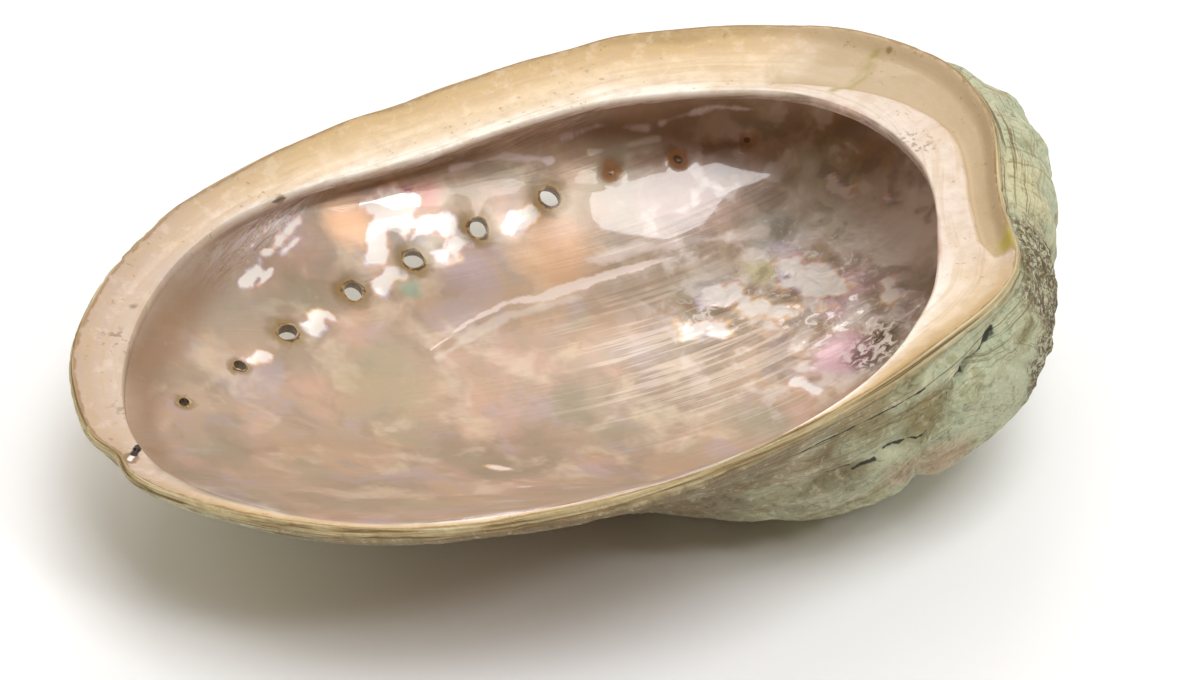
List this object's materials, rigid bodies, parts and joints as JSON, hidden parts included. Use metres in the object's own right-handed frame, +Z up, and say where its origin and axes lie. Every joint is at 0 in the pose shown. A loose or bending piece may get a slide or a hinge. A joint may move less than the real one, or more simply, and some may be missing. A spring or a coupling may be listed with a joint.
{
  "type": "abalone shell",
  "caption": "Empty abalone shell lying on its back: a deep oval bowl lined with glossy nacre, with a flat inner shelf, a row of breathing pores and a rough ridged outside.",
  "frame": {"origin": "middle of the shell's bounding box, on the surface that it lies on", "axes": "+X along the shell towards the spire end, +Y across it towards the shelf, +Z up, out of the mouth"},
  "size_m": [0.1764, 0.1204, 0.0466],
  "materials": {
    "shell": "glossy iridescent nacre inside, matt weathered and ridged outside"
  },
  "bodies": {
    "root": {"shell": "shell"}
  },
  "joints": []
}
